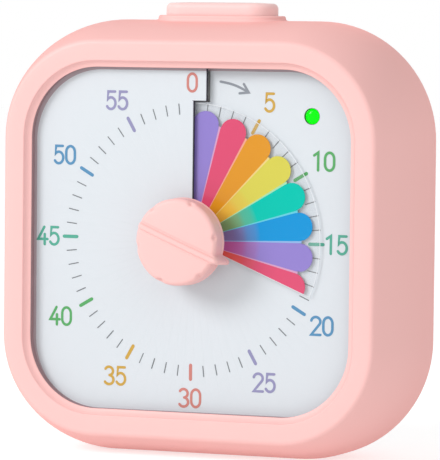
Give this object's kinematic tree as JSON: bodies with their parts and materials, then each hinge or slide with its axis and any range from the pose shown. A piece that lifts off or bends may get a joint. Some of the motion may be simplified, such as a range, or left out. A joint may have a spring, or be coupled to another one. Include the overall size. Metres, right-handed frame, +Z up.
{
  "type": "visual countdown timer",
  "caption": "Square desk timer with rounded corners in a soft sleeve; turning the knob winds a petal-coloured film out through a slit in its dial, and a top button works the alarm.",
  "frame": {"origin": "on the flat base, under the middle of the body's width and depth", "axes": "+Z up; the dial faces -Y; +X is to the right as seen from in front of the dial"},
  "size_m": [0.09, 0.0412, 0.0933],
  "materials": {
    "pink_silicone": "soft matte",
    "pink_plastic": "satin",
    "white_plastic": "fine texture",
    "dial_plastic": "satin",
    "petal_film": "printed film",
    "grey_plastic": "fine texture",
    "gear_plastic": "satin",
    "blue_plastic": "satin",
    "black_plastic": "satin",
    "board_green": "lacquered",
    "green_lamp": "clear",
    "cell_jacket": "printed sleeve",
    "motor_steel": "plated",
    "steel": "plated",
    "brass": "turned",
    "red_wire": "insulated wire"
  },
  "bodies": {
    "casing": {"silicone_sleeve": "pink_silicone", "front_case": "white_plastic", "rear_case": "white_plastic", "dial_sheet": "dial_plastic", "shaft_bush": "brass", "gear_plate": "grey_plastic", "motor": "motor_steel", "circuit_board": "board_green", "control_chip": "black_plastic", "buzzer": "black_plastic", "indicator_led": "green_lamp", "tact_switch": "black_plastic", "slide_switch": "grey_plastic", "position_sensor": "blue_plastic", "battery": "cell_jacket", "battery_spring": "steel", "battery_contact": "steel", "battery_leads": "red_wire", "motor_leads": "red_wire", "case_screws": "steel", "board_screws": "steel", "plate_screws": "steel", "motor_screws": "steel"},
    "knob_set": {"knob": "pink_plastic", "knob_shaft": "steel", "drive_gear": "gear_plastic", "clutch_spring": "steel", "shaft_clip": "steel", "sensor_rotor": "white_plastic"},
    "film_set": {"film_hub": "white_plastic", "petal_film": "petal_film"},
    "pinion_set": {"motor_pinion": "brass", "motor_shaft": "steel"},
    "button_set": {"top_button": "pink_plastic", "tact_plunger": "black_plastic"},
    "slider_set": {"slider_cap": "pink_plastic", "slider_lever": "black_plastic"},
    "door": {"battery_door": "white_plastic"}
  },
  "joints": [
    {"name": "knob_turn", "type": "hinge", "parent": "casing", "child": "knob_set", "pos_m": [0, -0.014, 0.0446], "axis": [0, 1, 0], "range_deg": [-112.5, 247.5]},
    {"name": "film_wind", "type": "slide", "parent": "knob_set", "child": "film_set", "axis": [0, -1, 0], "range_m": [-0.00047, 0.00104]},
    {"name": "pinion_turn", "type": "hinge", "parent": "casing", "child": "pinion_set", "pos_m": [-0.01804, -0.008, 0.05117], "axis": [0, 1, 0], "range_deg": [-743, 338]},
    {"name": "button_press", "type": "slide", "parent": "casing", "child": "button_set", "axis": [0, 0, -1], "range_m": [0, 0.0005], "stiffness_N_per_m": 800, "springref_m": -0.0005},
    {"name": "slider_move", "type": "slide", "parent": "casing", "child": "slider_set", "axis": [1, 0, 0], "range_m": [-0.002, 0.002]},
    {"name": "door_swing", "type": "hinge", "parent": "casing", "child": "door", "pos_m": [0, 0.014, 0.022], "axis": [-1, 0, 0], "range_deg": [0, 90]}
  ],
  "couplings": [
    {"joint": "film_wind", "follows": "knob_turn", "m_per_rad": 0.00023873},
    {"joint": "pinion_turn", "follows": "knob_turn", "ratio": -3}
  ]
}
